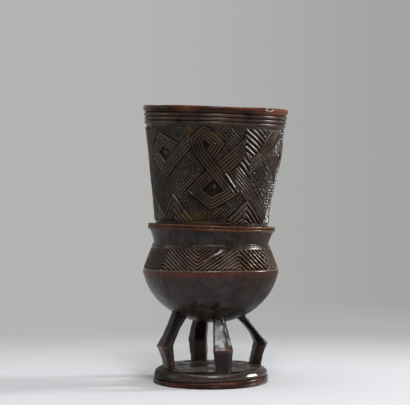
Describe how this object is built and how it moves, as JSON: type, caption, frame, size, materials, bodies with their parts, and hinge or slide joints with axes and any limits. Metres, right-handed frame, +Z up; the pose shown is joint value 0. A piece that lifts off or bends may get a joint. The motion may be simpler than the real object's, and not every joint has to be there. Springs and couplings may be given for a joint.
{
  "type": "palm wine cup",
  "caption": "Carved wooden drinking cup: flaring beaker with strapwork set in a round footed pot, on bent legs and a domed base. Holds palm wine; stands on a table.",
  "frame": {"origin": "centre of the flat underside of the base, where the cup rests", "axes": "+Z up along the cup, -Y towards the front that the main view shows, +X to that view's right"},
  "size_m": [0.1058, 0.1058, 0.2019],
  "materials": {
    "flange_wood": "dark patinated wood, worn red-brown on its edge",
    "disc_wood": "dark patinated wood, glossy from handling",
    "leg_wood": "near-black wood with faceted knife planes, red-brown at the knees",
    "bowl_wood": "smooth near-black wood with a soft polish",
    "shoulder_wood": "dark wood cut with zigzag ridges, lighter on the ridges",
    "neck_wood": "smooth dark wood",
    "collar_wood": "dark wood, worn red-brown on the edge",
    "wall_wood": "dark wood cut with interlaced straps, with residue in the cuts",
    "bead_wood": "dark wood ridges, polished on the crests",
    "lip_wood": "dark red-brown wood, worn smooth by use"
  },
  "bodies": {
    "root": {"base_flange": "flange_wood", "base_disc": "disc_wood", "leg_front": "leg_wood", "leg_right": "leg_wood", "leg_back": "leg_wood", "leg_left": "leg_wood", "bowl": "bowl_wood", "chevron_shoulder": "shoulder_wood", "neck": "neck_wood", "collar": "collar_wood", "beaker_wall": "wall_wood", "bead_lower": "bead_wood", "bead_middle": "bead_wood", "bead_upper": "bead_wood", "drinking_lip": "lip_wood"}
  },
  "joints": []
}
